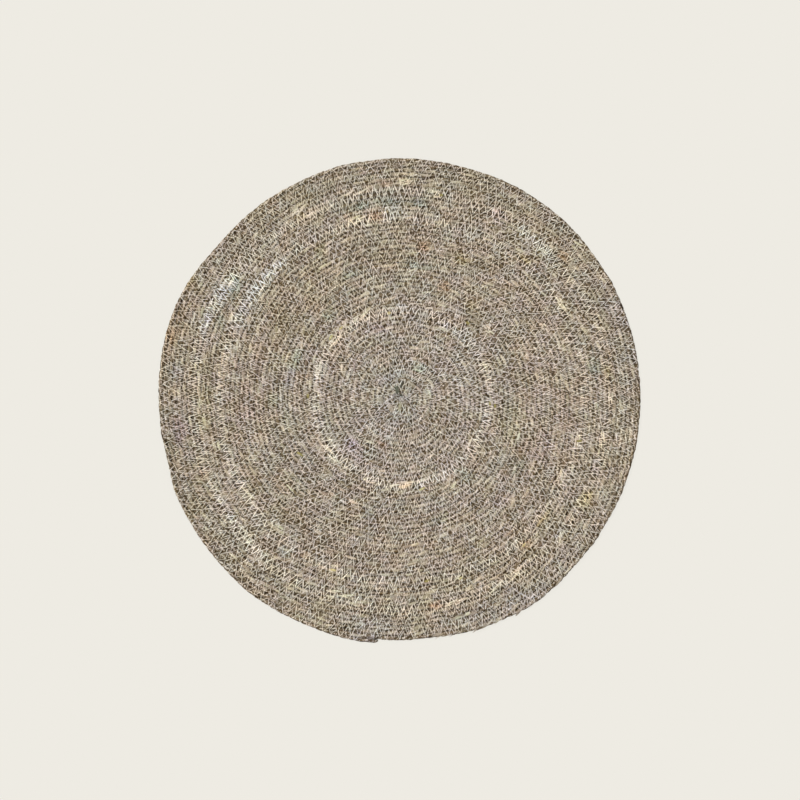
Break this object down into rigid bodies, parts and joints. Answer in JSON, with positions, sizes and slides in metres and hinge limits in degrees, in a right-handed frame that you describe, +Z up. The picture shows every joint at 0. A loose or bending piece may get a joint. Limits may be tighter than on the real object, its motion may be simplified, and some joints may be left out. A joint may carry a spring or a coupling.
{
  "type": "round seagrass placemat",
  "caption": "Flat round placemat of one seagrass rope coiled from the middle and sewn turn to turn, to lie on a table under a plate.",
  "frame": {"origin": "on the table, under the middle of the mat's outline", "axes": "+Z up through the mat; the rope's cut end lies at the rim near -Y, and the coil winds outwards counter-clockwise seen from above"},
  "size_m": [0.3796, 0.38, 0.004],
  "materials": {
    "seagrass": "matt"
  },
  "bodies": {
    "root": {"mat": "seagrass"}
  },
  "joints": []
}
